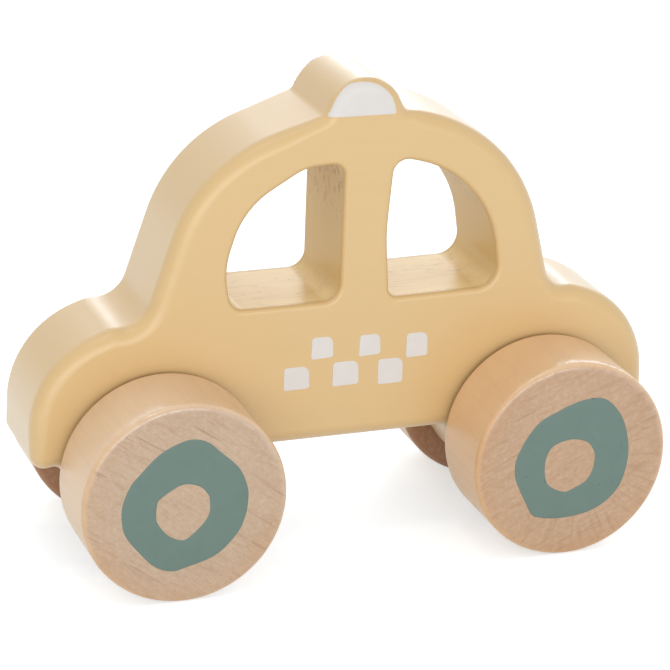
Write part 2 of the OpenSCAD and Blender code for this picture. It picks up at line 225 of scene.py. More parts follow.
class TaxiFinish(bpy.types.PropertyGroup):
    """Colours of the paints and woods."""
    yellow: paint("Yellow paint", "Pale yellow paint of the board", (0.695, 0.468, 0.203))
    # Set lighter than the board's yellow, as painted light for the dim window insides, on a thinner coat
    thin_yellow: paint("Thin paint", "Thinner paint on the walls of the windows", (0.73, 0.53, 0.225))
    # Paler than the paint itself: partly rubbed paint, partly painted light for the sheen on the sills
    sill: paint("Sills", "Worn paint on the window sills", (0.88, 0.66, 0.31))
    white: paint("White print", "White of the checks and the roof light", (0.755, 0.712, 0.672))
    teal: paint("Grey-green print", "Grey-green of the rings", (0.142, 0.212, 0.179))
    front_face: paint("Front wheel faces", "Pale end grain of the front wheels", (0.56, 0.392, 0.26))
    # Both tread tones are set lighter, partly as painted light for the light on the wheel tops
    front_tread: paint("Front treads", "Wood on the treads of the front wheels", (0.83, 0.58, 0.355))
    rear_face: paint("Rear wheel faces", "Warmer end grain of the rear wheels", (0.545, 0.342, 0.203))
    rear_tread: paint("Rear treads", "Wood on the treads of the rear wheels", (0.85, 0.565, 0.315))
    # Darker as painted shade: the inner faces turn to the board and lie in its shadow
    inner_face: paint("Inner faces", "Duller wood on the inner faces of the wheels", (0.40, 0.195, 0.095))
    # Laid on most low on each wheel: partly a real edge tint, partly painted shade
    edge: paint("Wheel edges", "Warm tone on the rounded edges of the wheels", (0.58, 0.27, 0.09))
    dark_grain: paint("Dark grain", "Dark lines and pores in the wheels", (0.25, 0.11, 0.04))
    pale_grain: paint("Pale grain", "Pale fibres in the wheels", (0.95, 0.86, 0.74))
    dowel: paint("Dowel", "Wood of the axles", (0.50, 0.31, 0.16))


class TaxiStage(bpy.types.PropertyGroup):
    """Light around the toy, and the floor under it."""
    sky: strength("Sky", "Strength of the even light from all around", 0.68)
    top: strength("Top light", "Power of the soft light high up behind", 2.6)
    rim: strength("Rim light", "Power of the small light overhead", 0.6)
    back: strength("Back light", "Power of the wide soft light behind", 4.4)
    narrow: strength("Narrow light", "Power of the narrow light behind", 2.8)
    front: strength("Front light", "Power of the soft light beside the camera", 8.5)
    white: paint("White light", "Colour of the front and the rim light", (1, 1, 1))
    cool: paint("Cool light", "Colour of the lights behind", (0.82, 0.91, 1.0))
    floor: paint("Floor", "Colour of the floor as it lights the toy", (0.74, 0.78, 0.81))
    seen_floor: paint("Floor in view", "Colour of the floor to the camera", (0.89, 0.95, 1))
    glow: paint("Floor glow", "Colour that lifts the floor to white in view", (0.92, 0.96, 1))
    glow_strength: strength("Glow", "Strength that lifts the floor to white in view", 0.49)


def setting_keys(settings):
    """Names of the values in a group of settings."""
    return [key for key in settings.bl_rna.properties.keys() if key not in ("rna_type", "name")]


def in_mm(settings):
    """The sizes of a group in millimetres, by name."""
    return SimpleNamespace(**{key: getattr(settings, key) / MM for key in setting_keys(settings)})


def smooth(t):
    """Rises from 0 to 1 with level ends: three t squared less two t cubed."""
    t = np.clip(t, 0, 1)
    return t * t * (3 - 2 * t)


def rounded(corners, turn_step=math.radians(4), side_step=2.0):
    """Points, normals and edge radii along a closed outline whose corners are arcs.

    Each corner is (x, z, radius, edge radius), anticlockwise seen from the left. Its arc has its middle one
    radius inside both sides and turns from one side's normal to the next. Where two arcs need more than
    their side has, both shrink alike. A side between two arcs is straight, and its edge radius runs
    smoothly from one to the next.
    """
    c = np.array(corners, float)
    side = np.roll(c[:, :2], -1, 0) - c[:, :2]
    length = np.linalg.norm(side, axis=1)
    along = side / length[:, None]
    before = np.roll(along, 1, 0)
    turn = np.arctan2(before[:, 0] * along[:, 1] - before[:, 1] * along[:, 0], (before * along).sum(1))
    reach = c[:, 2] * np.tan(np.abs(turn) / 2)
    room = length / (reach + np.roll(reach, -1))
    share = np.minimum(1, np.minimum(room, np.roll(room, 1)))
    radius = c[:, 2] * share
    reach = reach * share
    way = np.sign(turn)
    edge = np.where(way > 0, np.minimum(c[:, 3], EDGE_LIMIT_SHARE * radius), c[:, 3])
    out = np.stack([before[:, 1], -before[:, 0]], 1)
    middle = c[:, :2] - before * reach[:, None] - out * (radius * way)[:, None]
    points, normals, edges = [], [], []
    count = len(c)
    for i in range(count):
        n = max(3, math.ceil(abs(turn[i]) / turn_step))
        a = turn[i] * np.linspace(0, 1, n + 1)
        normal = np.stack([out[i, 0] * np.cos(a) - out[i, 1] * np.sin(a),
                           out[i, 0] * np.sin(a) + out[i, 1] * np.cos(a)], 1)
        arc = middle[i] + normal * radius[i] * way[i]
        following = (i + 1) % count
        spare = length[i] - reach[i] - reach[following]
        m = math.ceil(spare / side_step) if spare > NO_LENGTH else 0
        f = np.linspace(0, 1, m + 1)[1:-1]
        # Without a straight stretch the next arc starts where this one ends, so that point is left out
        kept = n + 1 if m else n
        points += [arc[:kept], arc[-1] + along[i] * spare * f[:, None]]
        normals += [normal[:kept], np.repeat(normal[-1:], len(f), 0)]
        edges += [np.full(kept, edge[i]), edge[i] + (edge[following] - edge[i]) * smooth(f)]
    return np.concatenate(points), np.concatenate(normals), np.concatenate(edges)


def lug_corners(b, x):
    """Corners of the lug around an axle at x, from front to rear."""
    top, foot = b.lug_length / 2, b.lug_foot / 2
    low = b.underside - b.lug_drop
    return [(x - top, b.underside, b.lug_fillet, b.edge), (x - foot, low, b.lug_radius, b.edge),
            (x + foot, low, b.lug_radius, b.edge), (x + top, b.underside, b.lug_fillet, b.edge)]


def end_corners(b, end):
    """Corners of one end of the board: its chin, nose, hood, hollow beside the cabin, and brow."""
    tip, cabin = b.length / 2, b.cabin_length / 2
    return [
        (end.hand * tip, b.underside, b.chin_radius, b.edge),
        (end.hand * tip, b.hood - end.nose_fall, b.nose_radius, b.edge),
        (end.hand * (tip - b.nose_length), b.hood, b.hood_radius, b.edge),
        (b.set_back + end.hand * cabin, b.hood, end.hollow, b.edge),
        (b.set_back + end.hand * (cabin - end.rake), b.roof - end.brow_fall, end.brow, b.edge),
    ]


def light_corners(b):
    """Corners of the roof light from rear to front: its sides lean in and touch its round top."""
    x, r = b.set_back + b.light_back, b.light_radius
    head = r * math.tan((QUARTER_TURN - LIGHT_LEAN) / 2)
    foot = (r - (b.roof - b.light_top + r) * math.sin(LIGHT_LEAN)) / math.cos(LIGHT_LEAN)
    return [(x + foot, b.roof, b.light_foot, b.light_edge), (x + head, b.light_top, r, b.light_edge),
            (x - head, b.light_top, r, b.light_edge), (x - foot, b.roof, b.light_foot, b.light_edge)]


def board_corners(b):
    """Corners of the board: rear lug, rear end upwards, roof light, front end downwards, front lug."""
    rear_lug, front_lug = (lug_corners(b, AXLES[end][0]) for end in ("rear", "front"))
    return rear_lug + end_corners(b, REAR) + light_corners(b) + end_corners(b, FRONT)[::-1] + front_lug


def window_corners(b, hand):
    """Corners of the front window with hand -1, and of the rear one with hand 1."""
    pillar = b.set_back + b.pillar_back
    corners = [
        (pillar + hand * (b.pillar_width / 2 + along * b.window_width), b.sill + up * b.window_height,
         radius * b.window_width, b.window_edge)
        for along, up, radius in WINDOW_SHARES[hand]]
    return corners if hand < 0 else corners[::-1]


def bore_corners(b, axle):
    """Four corners whose arcs join to one circle around an axle."""
    x, z = axle
    r = b.bore / 2
    return [(x + i * r, z + k * r, r, b.bore_edge) for i, k in ((-1, -1), (1, -1), (1, 1), (-1, 1))]


def tilted_light(points, b):
    """Points on the board, lowered on the roof light, which was sanded lower on its right side.

    The fall grows evenly from the left side to the right one, and sets in smoothly above the roof.
    """
    across = 0.5 + points[..., 1] / b.thickness
    onset = smooth((points[..., 2] - b.roof - TILT_START) / TILT_GROWTH)
    lowered = points.copy()
    lowered[..., 2] -= b.light_fall * across * onset
    return lowered


def edge_strip(path, thickness, way, steps=10):
    """Rows of points around a rounded board edge, from the left face over the wall to the right face.

    At an angle a around the edge a point lies e(1 - cos a) inside the outline and e(1 - sin a) below the
    face. With way -1 the edge belongs to an opening and flares outwards. Two more rows cross the wall.
    """
    p, n, e = path
    a = np.linspace(QUARTER_TURN, 0, steps + 1)
    a = np.concatenate([a, [0, 0], a[::-1]])
    hand = np.concatenate([-np.ones(steps + 1), [-0.5, 0.5], np.ones(steps + 1)])
    inset = way * e * (1 - np.cos(a))[:, None]
    xz = p - n * inset[..., None]
    y = hand[:, None] * (thickness / 2 - e * (1 - np.sin(a))[:, None])
    normal_xz = way * n * np.cos(a)[:, None, None]
    normal_y = np.repeat((np.sign(hand) * np.sin(a))[:, None], len(p), 1)
    points = np.stack([xz[..., 0], y, xz[..., 1]], -1)
    normals = np.stack([normal_xz[..., 0], normal_y, normal_xz[..., 1]], -1)
    return points, normals


def side_y(x, z, path, thickness):
    """Distance of the left face from the middle plane at points x, z.

    Inside the outline by d, the rounded edge of radius e lies e less the root of e squared less (e - d)
    squared below the flat face.
    """
    p, _, e = path
    gap = np.hypot(x[..., None] - p[:, 0], z[..., None] - p[:, 1])
    near = gap.argmin(-1)
    d = np.take_along_axis(gap, near[..., None], -1)[..., 0]
    over = np.clip(e[near] - d, 0, e[near])
    return thickness / 2 - (e[near] - np.sqrt(e[near] ** 2 - over ** 2))


def grid_faces(rows, columns, closed=False):
    """Four-sided faces of a grid whose last column joins its first. If closed, its last row does so too."""
    i, j = np.meshgrid(np.arange(columns), np.arange(rows if closed else rows - 1))
    k = (i + 1) % columns
    up = (j + 1) % rows
    corners = [j * columns + i, j * columns + k, up * columns + k, up * columns + i]
    return np.stack(corners, -1).reshape(-1, 4)


def looks_along(points, faces, directions):
    """Whether faces, taken together, look along the given directions."""
    a, b, c = (points[faces[:, k]] for k in (0, 1, 2))
    return (np.cross(b - a, c - a) * directions).sum() > 0


def facing(points, faces, directions):
    """The faces, turned round if they look against the given directions."""
    return faces if looks_along(points, faces, directions) else faces[:, ::-1]


def face_triangles(rings):
    """Triangles that fill the first ring and leave the others open, as numbers of the rings' joined points.

    A triangle is inside where a line from its middle towards +X crosses the rings an odd number of times.
    """
    flat = np.concatenate(rings)
    starts = np.cumsum([0] + [len(ring) for ring in rings])
    loops = [np.arange(len(ring)) + start for ring, start in zip(rings, starts)]
    edges = np.concatenate([np.stack([loop, np.roll(loop, -1)], 1) for loop in loops])
    made = delaunay_2d_cdt([Vector(v) for v in flat], edges.tolist(), [], 0, SAME_POINT, True)
    made_faces, made_from = made[2], made[3]
    triangles = np.array([v[0] for v in made_from])[np.array(made_faces)]
    x, z = flat[triangles].mean(1).T[..., None]
    crossings = np.zeros(len(triangles), int)
    for ring in rings:
        a, b = ring, np.roll(ring, -1, 0)
        spans = (a[:, 1] > z) != (b[:, 1] > z)
        # A level edge is never crossed, so its rise may be anything but 0
        rise = np.where(b[:, 1] == a[:, 1], 1, b[:, 1] - a[:, 1])
        cross_x = a[:, 0] + (z - a[:, 1]) / rise * (b[:, 0] - a[:, 0])
        crossings += (spans & (x < cross_x)).sum(1)
    return triangles[crossings % 2 == 1]


def capped(rings, first, last, hand):
    """Points and faces of rows of rings with one point at each end. The first row looks to side hand."""
    rows, columns = rings.shape[:2]
    points = np.concatenate([rings.reshape(-1, 3), [first], [last]])
    i = np.arange(columns)
    k = (i + 1) % columns
    base, end = (rows - 1) * columns, rows * columns
    first_fan = np.stack([np.full(columns, end), k, i], 1)
    last_fan = np.stack([np.full(columns, end + 1), base + i, base + k], 1)
    fans = np.concatenate([first_fan, last_fan])
    quads = grid_faces(rows, columns)
    if not looks_along(points, quads[:columns], (0, hand, 0)):
        quads, fans = quads[:, ::-1], fans[:, ::-1]
    return points, quads.tolist() + fans.tolist()


def around(axle, radii, y):
    """Rings of points about an axle: each has a radius for each angle, and a distance y along the axle."""
    steps = radii.shape[1]
    a = np.linspace(0, FULL_TURN, steps, endpoint=False)
    across = np.repeat(y[:, None], steps, 1)
    return np.stack([axle[0] + radii * np.cos(a), across, axle[1] + radii * np.sin(a)], -1)


def lathe(profile, axle, hand):
    """A closed round solid about an axle: a profile of radius and distance from the middle, turned once.

    The first and the last point of the profile lie on the axle and become single points.
    """
    r, y = profile.T * np.array([[1], [hand]])
    rings = around(axle, np.repeat(r[1:-1, None], WHEEL_STEPS, 1), y[1:-1])
    x, z = axle
    return capped(rings, (x, y[0], z), (x, y[-1], z), hand)


def add_piece(name, points, faces, material, body, nodes, normals=None, sharp=None, marks=None):
    """A mesh in metres that rides on a body and stands for CAD nodes. Points are given in millimetres."""
    mesh = bpy.data.meshes.new(name)
    mesh.from_pydata((np.asarray(points) * MM).tolist(), [], [list(f) for f in faces])
    mesh.shade_smooth()
    if sharp is not None:
        mesh.set_sharp_from_angle(angle=math.radians(sharp))
    for label, values in (marks or {}).items():
        mark = mesh.attributes.new(label, "FLOAT", "POINT")
        mark.data.foreach_set("value", np.asarray(values, np.float32))
    if normals is not None:
        mesh.normals_split_custom_set_from_vertices(normals.tolist())
    mesh.materials.append(material)
    piece = bpy.data.objects.new(name, mesh)
    bpy.context.scene.collection.objects.link(piece)
    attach(piece, body)
    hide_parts(*nodes)


def tint(colour, level):
    """A colour made darker or lighter."""
    return tuple(min(1, v * level) for v in colour)


class Finish:
    """A material made of nodes that ends in one Principled shader. It is ready if it was made before."""

    def __init__(self, name):
        found = bpy.data.materials.get(name)
        self.ready = found is not None
        self.material = found or bpy.data.materials.new(name)
        self.material.use_nodes = True
        self.nodes = self.material.node_tree.nodes
        self.links = self.material.node_tree.links
        self.shader = self.nodes["Principled BSDF"]

    def feed(self, socket, value):
        """Links a socket to another, or sets its own value."""
        if isinstance(value, bpy.types.NodeSocket):
            self.links.new(value, socket)
        else:
            socket.default_value = value

    def node(self, kind, inputs, output=0, **options):
        """A node with its options and inputs set, by name or number. Returns one of its outputs."""
        made = self.nodes.new(kind)
        for key, value in options.items():
            setattr(made, key, value)
        for key, value in inputs.items():
            self.feed(made.inputs[key], value)
        return made.outputs[output]

    def place(self, scale=(1, 1, 1), turn=(0, 0, 0), shift=(0, 0, 0)):
        """Object coordinates, shifted, turned and then stretched."""
        seen = self.node("ShaderNodeTexCoord", {}, "Object")
        moved = self.node("ShaderNodeMapping", {"Vector": seen, "Location": shift})
        turned = self.node("ShaderNodeMapping", {"Vector": moved, "Rotation": turn})
        return self.node("ShaderNodeMapping", {"Vector": turned, "Scale": scale})

    def along(self, axis, vector):
        """One of the three numbers of a vector."""
        return self.node("ShaderNodeSeparateXYZ", {0: vector}, axis)

    def noise(self, vector, scale=1.0, detail=3.0, rough=0.55, distort=0.0):
        """Soft random values between 0 and 1."""
        return self.node("ShaderNodeTexNoise", {
            "Vector": vector, "Scale": scale, "Detail": detail, "Roughness": rough, "Distortion": distort})

    def span(self, value, low, high, to_low=0.0, to_high=1.0):
        """Stretches the values between low and high to a new span, and keeps them in it."""
        return self.node("ShaderNodeMapRange", {0: value, 1: low, 2: high, 3: to_low, 4: to_high})

    def math(self, operation, a, b=0.0):
        """One sum of one or two values."""
        return self.node("ShaderNodeMath", {0: a, 1: b}, operation=operation)

    def times(self, a, b):
        """The product of two values."""
        return self.math("MULTIPLY", a, b)

    def mix(self, share, a, b):
        """A colour between two colours."""
        a, b = (v if isinstance(v, bpy.types.NodeSocket) else (*v, 1) for v in (a, b))
        return self.node("ShaderNodeMix", {0: share, 6: a, 7: b}, 2, data_type="RGBA")

    def mark(self, name):
        """A value that the mesh carries on its points."""
        return self.node("ShaderNodeAttribute", {}, "Fac", attribute_name=name)

    def bump(self, height, distance, strength, normal=None):
        """A surface raised by a height, up to a distance in millimetres."""
        inputs = {"Height": height, "Distance": distance * MM, "Strength": strength}
        if normal is not None:
            inputs["Normal"] = normal
        return self.node("ShaderNodeBump", inputs)

    def finish(self, **inputs):
        """Sets the shader's inputs and returns the material."""
        for key, value in inputs.items():
            self.feed(self.shader.inputs[key.replace("_", " ")], value)
        return self.material


def yellow_paint(c):
    """Satin brushed paint with faint wood grain under it.

    The walls of the windows have a thin, matt and streaked coat, which is cracked at the top of the pillar
    and rubbed on the sills. The coat is painted lighter than the board's yellow, as painted light for
    the dim insides of the windows. The sills, which look up, are paler still, as painted light for the
    sheen and brighter light that fall on them. The coat ends raggedly near both sides of the board, whose
    paint wraps over there.
    """
    f = Finish("pale_yellow_paint")
    if f.ready:
        return f.material
    sill = f.mark("sill")
    wall = f.mark("cut")
    cloud = f.noise(f.place(), scale=55, detail=4, rough=0.6)
    grain = f.noise(f.place((60, 420, 420)), detail=4, rough=0.6)
    peel = f.noise(f.place(), scale=1500, detail=2, rough=0.5)
    streak = f.noise(f.place((300, 700, 90)), detail=4, rough=0.65)
    scratch = f.noise(f.place((90, 420, 420)), detail=4, rough=0.7, distort=0.5)
    split = f.noise(f.place((45, 520, 520)), detail=2, rough=0.5, distort=0.35)
    rub = f.noise(f.place((700, 130, 700)), rough=0.6, distort=0.3)
    crack = f.noise(f.place((1, 1, 0.55)), scale=900, rough=0.7, distort=0.6)
    depth = f.math("ABSOLUTE", f.along("Y", f.place()))
    uneven = f.span(f.noise(f.place(), scale=400, rough=0.6), 0.3, 0.7, -0.4 * MM, 0.4 * MM)
    inside = f.span(f.math("ADD", depth, uneven), 9.6 * MM, 10.4 * MM, 1, 0)
    cut = f.times(wall, inside)
    high = f.span(f.along("Z", f.place()), 64 * MM, 74 * MM)
    brown = tint(c.thin_yellow, 0.4)
    base = f.mix(f.span(cloud, 0.3, 0.7, 0, 0.35), c.yellow, tint(c.yellow, 1.05))
    base = f.mix(f.span(grain, 0.45, 0.75, 0, 0.1), base, tint(c.yellow, 0.88))
    # The thin wall coat is lighter than the board's paint, as painted light for the dim window insides
    thin = f.mix(f.span(streak, 0.35, 0.7, 0, 0.22), c.thin_yellow, c.yellow)
    thin = f.mix(f.times(high, f.span(crack, 0.53, 0.62, 0, 0.75)), thin, brown)
    # Sill colour: partly rubbed paint, partly painted light for the sheen and light on up-facing sills
    sill_wear_and_painted_light = f.mix(f.span(scratch, 0.45, 0.7, 0, 0.3), c.sill, c.yellow)
    sill_wear_and_painted_light = f.mix(f.span(rub, 0.6, 0.75, 0, 0.5), sill_wear_and_painted_light, tint(c.sill, 1.08))
    off_line = f.math("ABSOLUTE", f.math("SUBTRACT", split, 0.5))
    sill_wear_and_painted_light = f.mix(f.span(off_line, 0, 0.012, 0.4, 0), sill_wear_and_painted_light, brown)
    colour = f.mix(cut, base, f.mix(sill, thin, sill_wear_and_painted_light))
    rough = f.math("ADD", f.span(cloud, 0.3, 0.7, 0.48, 0.56), f.times(wall, 0.1))
    fine = f.bump(peel, 0.02, 0.35)
    lines = f.bump(grain, 0.04, 0.3, fine)
    cuts = f.bump(f.times(streak, cut), 0.08, 0.4, lines)
    return f.finish(Base_Color=colour, Roughness=rough, Normal=cuts, Coat_Roughness=0.34,
                    Coat_Weight=f.span(wall, 0, 1, 1, 0.22))


def print_paint(name, colour, under, pits):
    """Thin matt print: cloudy, with the surface below showing through in specks and pits."""
    f = Finish(name)
    if f.ready:
        return f.material
    cloud = f.noise(f.place(), scale=260, detail=4, rough=0.6)
    fleck = f.noise(f.place((1, 0.15, 1)), scale=1700, rough=0.6)
    pit = f.noise(f.place((1, 0.2, 1)), scale=1800, detail=1, rough=0.4)
    base = f.mix(f.span(cloud, 0.3, 0.7, 0, 0.4), colour, tint(colour, 0.93))
    base = f.mix(f.span(fleck, 0.6, 0.8, 0, 0.08), base, under)
    base = f.mix(f.span(pit, 0.76, 0.785, 0, pits), base, tint(colour, 0.2))
    rough = f.span(cloud, 0.3, 0.7, 0.5, 0.62)
    return f.finish(Base_Color=base, Roughness=rough, Normal=f.bump(fleck, 0.06, 0.3))


def beech(c, end, side, middle):
    """Sanded beech turned along its grain: pores and growth lines across the face, streaks along the tread.

    Growth lines run side by side across the wheel at an angle, with a few dark ones. With rays, lines also
    run out from the middle on one side: noise of the direction from the axle, drawn long along the radius.
    """
    f = Finish(f"beech_{end}_{side}")
    if f.ready:
        return f.material
    grain = GRAIN[end]
    face_tone, tread_tone = getattr(c, f"{end}_face"), getattr(c, f"{end}_tread")
    shift = tuple(-v * MM for v in middle)
    tilt = (0, getattr(grain, side), 0)
    level = (0, 0, 0)
    rim, tread, inner, gloss = (f.mark(key) for key in ("rim", "tread", "inner", "gloss"))
    slow = f.noise(f.place((1, 0.2, 1), tilt, shift), scale=95, rough=0.5)
    lines = f.noise(f.place((120, 22, 1100), tilt, shift), rough=0.6, distort=0.2)
    crack = f.noise(f.place((80, 30, 1150), tilt, shift), detail=1, rough=0.3, distort=0.1)
    wool = f.noise(f.place((0.6, 0.06, 1), tilt, shift), scale=1500, rough=0.7)
    pores = f.noise(f.place((0.55, 0.03, 1), tilt, shift), scale=3200, detail=2, rough=0.6)
    chip = f.noise(f.place((1, 1, 1), tilt, shift), scale=700, rough=0.7)
    spoke = f.node("ShaderNodeVectorMath", {0: f.place((1, 0, 1), level, shift)}, operation="NORMALIZE")
    drawn = f.place((130, 0, 130), level, shift)
    spread = f.node("ShaderNodeVectorMath", {0: spoke, 1: (14, 14, 14), 2: drawn}, operation="MULTIPLY_ADD")
    radial = f.noise(spread, detail=2, rough=0.6)
    rearward = f.along("X", f.place((1, 1, 1), (0, -0.7, 0), shift))
    one_side = f.span(rearward, -6 * MM, 6 * MM, 0.05, 1)
    # Low on each wheel the orange edge tint is laid on strongest, as painted shade
    upward = f.along("Z", f.place((1, 1, 1), (0, -0.5, 0), shift))
    low = f.span(upward, -4 * MM, 14 * MM, 1, 0.1)
    high = f.span(low, 0.1, 1, 1, 0)
    # Shares of the fibres, growth lines and dark lines that are left on the tread
    on_face = f.span(tread, 0, 1, 1, 0.3)
    grown = f.span(tread, 0, 1, 1, 0.2)
    flat = f.span(tread, 0, 1, 1, 0.1)
    # The darker inner tone on the inner faces and inner edges is painted shade
    tone = f.mix(inner, f.mix(tread, face_tone, tread_tone), c.inner_face)
    dark = f.mix(0.5, tone, c.dark_grain)
    pale = f.mix(0.35, tone, c.pale_grain)
    base = f.mix(f.span(slow, 0.35, 0.75, 0, 0.25), tone, dark)
    base = f.mix(f.times(on_face, f.span(wool, 0.42, 0.72, 0, 0.4)), base, pale)
    base = f.mix(f.times(grown, f.span(lines, 0.5, 0.75, 0, 0.45)), base, dark)
    base = f.mix(f.times(on_face, f.span(pores, 0.52, 0.74, 0, 0.42)), base, dark)
    base = f.mix(f.times(flat, f.span(crack, 0.7, 0.74, 0, grain.lines)), base, dark)
    fan = f.times(one_side, f.times(flat, f.span(radial, 0.5, 0.68, 0, grain.rays)))
    base = f.mix(fan, base, dark)
    # Orange on the rims: partly the wood's edge tint, partly painted shade that is strongest low on the
    # wheel
    orange_edge_and_shade = f.times(rim, f.times(low, f.span(slow, 0.35, 0.65, 0.35, 0.8)))
    base = f.mix(orange_edge_and_shade, base, c.edge)
    rough = f.span(lines, 0.3, 0.7, 0.38, 0.48)
    shine = f.times(f.times(gloss, high), f.span(chip, 0.38, 0.55, 0.25, 1))
    skin = f.bump(pores, 0.05, 0.4)
    return f.finish(Base_Color=base, Roughness=rough, Normal=f.bump(lines, 0.04, 0.3, skin), Coat_IOR=1.7,
                    Coat_Weight=f.span(shine, 0, 1, 0.12, 1), Coat_Roughness=0.17)


def dowel_wood(c):
    """Bare dowel: streaks along the axle."""
    f = Finish("dowel_wood")
    if f.ready:
        return f.material
    streak = f.noise(f.place((700, 30, 700)), detail=4, rough=0.6)
    colour = f.mix(f.span(streak, 0.35, 0.7), c.dowel, tint(c.dowel, 0.6))
    rough = f.span(streak, 0.3, 0.7, 0.5, 0.62)
    return f.finish(Base_Color=colour, Roughness=rough, Normal=f.bump(streak, 0.06, 0.4))


class TAXI_OT_board(bpy.types.Operator):
    """Makes the painted board with its roof light, windows and axle bores"""
    bl_idname = "taxi.board"
    bl_label = "Painted board"

    def execute(self, context):
        b = in_mm(context.scene.taxi_board)
        outlines = [(board_corners(b), 1)]
        outlines += [(window_corners(b, hand), -1) for hand in (-1, 1)]
        outlines += [(bore_corners(b, axle), -1) for axle in AXLES.values()]
        points, normals, cut, faces, left, right = [], [], [], [], [], []
        start = 0
        for corners, way in outlines:
            strip, strip_normals = edge_strip(rounded(corners), b.thickness, way)
            rows, columns = strip.shape[:2]
            strip, strip_normals = strip.reshape(-1, 3), strip_normals.reshape(-1, 3)
            walls = grid_faces(rows, columns)
            faces += (start + facing(strip, walls, strip_normals[walls[:, 0]])).tolist()
            points.append(strip)
            normals.append(strip_normals)
            # Only the openings are marked as cut, on their walls and about half of their rounded edges
            cut.append(smooth(1.25 - 1.5 * np.abs(strip_normals[:, 1])) * (way < 0))
            left.append(start + np.arange(columns))
            right.append(start + (rows - 1) * columns + np.arange(columns))
            start += rows * columns
        points, normals = np.concatenate(points), np.concatenate(normals)
        triangles = face_triangles([points[ring][:, [0, 2]] for ring in left])
        for rings, (_, hand) in zip((left, right), SIDES):
            flat_side = np.concatenate(rings)[triangles]
            faces += facing(points, flat_side, (0, hand, 0)).tolist()
        # The sills are where a surface looks up; there the paint takes a paler colour, partly as painted
        # light
        marks = {"cut": np.concatenate(cut), "sill": smooth(2 * normals[:, 2] - 0.8)}
        coat = yellow_paint(context.scene.taxi_finish)
        add_piece("painted_board", tilted_light(points, b), faces, coat, "car", ["body"],
                  normals=normals, marks=marks)
        return {"FINISHED"}


def by_part(parts, *values):
    """Joins values for the parts of a profile: one for a whole part, or one for each of its points."""
    return np.concatenate([np.broadcast_to(value, len(part)) for part, value in zip(parts, values)])


def wheel_profile(w):
    """Radius and distance from the middle plane along a wheel, from the middle of its face to its socket.

    Both edges are quarter circles. Rows beside them keep the faces flat. The marks say how much each point
    belongs to the orange rim, to the tread, to the inner face and to the glossy outer edge.
    The mark of the inner face also covers the inner edge and the socket, and darkens them as painted
    shade. The orange on the rim is partly painted shade.
    """
    r, hole, e = w.diameter / 2, w.socket / 2, w.edge
    inner_y, outer_y = w.inner_face, w.inner_face + w.width
    bottom_y = inner_y + w.socket_depth
    flat_r = r - e - w.chamfer
    a = np.linspace(0, QUARTER_TURN, EDGE_POINTS)
    face = [(share * r, outer_y) for share in FACE_SHARES] + [(flat_r, outer_y)]
    outer_edge = np.stack([r - e + e * np.sin(a), outer_y - e + e * np.cos(a)], 1)
    tread_y = np.linspace(outer_y - e, inner_y + e, TREAD_POINTS + 2)[1:-1]
    tread = np.stack([np.full(TREAD_POINTS, r), tread_y], 1)
    inner_edge = np.stack([r - e + e * np.cos(a), inner_y + e - e * np.sin(a)], 1)
    inner = [
        (flat_r, inner_y), (INNER_SHARE * r, inner_y), (hole + w.chamfer, inner_y),
        (hole, inner_y + w.chamfer), (hole, bottom_y), (BOTTOM_SHARE * hole, bottom_y), (0, bottom_y)]
    parts = (face, outer_edge, tread, inner_edge, inner)
    rim = np.sin(a / 2 + QUARTER_TURN / 2) ** 4 * np.cos(a) ** 0.5
    marks = {
        "rim": by_part(parts, (0, 0, 0, 0, 0.3), rim, 0, 0, 0),
        "tread": by_part(parts, 0, smooth(np.sin(a)), 1, 1, 0),
        # The inner face and the inner edge are marked for painted shade
        "inner": by_part(parts, 0, 0, 0, smooth(2 * np.sin(a)), 1),
        "gloss": by_part(parts, 0, 1, 0, 0, 0),
    }
    return np.concatenate(parts), marks


class TAXI_OT_wheels(bpy.types.Operator):
    """Makes the four turned wheels"""
    bl_idname = "taxi.wheels"
    bl_label = "Beech wheels"

    def execute(self, context):
        profile, profile_marks = wheel_profile(in_mm(context.scene.taxi_wheels))
        marks = {key: np.concatenate([np.repeat(v[1:-1], WHEEL_STEPS), v[[0, -1]]])
                 for key, v in profile_marks.items()}
        for end, (x, z) in AXLES.items():
            for side, hand in SIDES:
                points, faces = lathe(profile, (x, z), hand)
                wood = beech(context.scene.taxi_finish, end, side, (x, hand * GRAIN_Y, z))
                add_piece(f"{end}_{side}_wheel", points, faces, wood, f"{end}_wheelset",
                          [f"wheel_{end}_{side}"], sharp=35, marks=marks)
        return {"FINISHED"}


class TAXI_OT_axles(bpy.types.Operator):
    """Gives both dowel axles their wood"""
    bl_idname = "taxi.axles"
    bl_label = "Dowel axles"

    def execute(self, context):
        wood = dowel_wood(context.scene.taxi_finish)
        for name in ("front_axle", "rear_axle"):
            materials = frame["nodes"][name].data.materials
            materials.clear()
            materials.append(wood)
        return {"FINISHED"}


def brushed(points, angle, steps=12):
    """Radius at each angle of a smooth closed curve through given points.

    Between two points b and c, with a before and d after them, the curve is a cubic whose slope at b is
    half of c - a, and at c half of d - b.
    """
    p = np.array(points)
    f = np.linspace(0, 1, steps, endpoint=False)[None, :, None]
    a, b, c, d = (np.roll(p, k, 0)[:, None] for k in (1, 0, -1, -2))
    curve = b + f * ((c - a) + f * ((2 * a - 5 * b + 4 * c - d) + f * (3 * b - 3 * c + d - a))) / 2
    x, z = curve.reshape(-1, 2).T
    return np.interp(angle, np.arctan2(z, x), np.hypot(x, z), period=FULL_TURN)


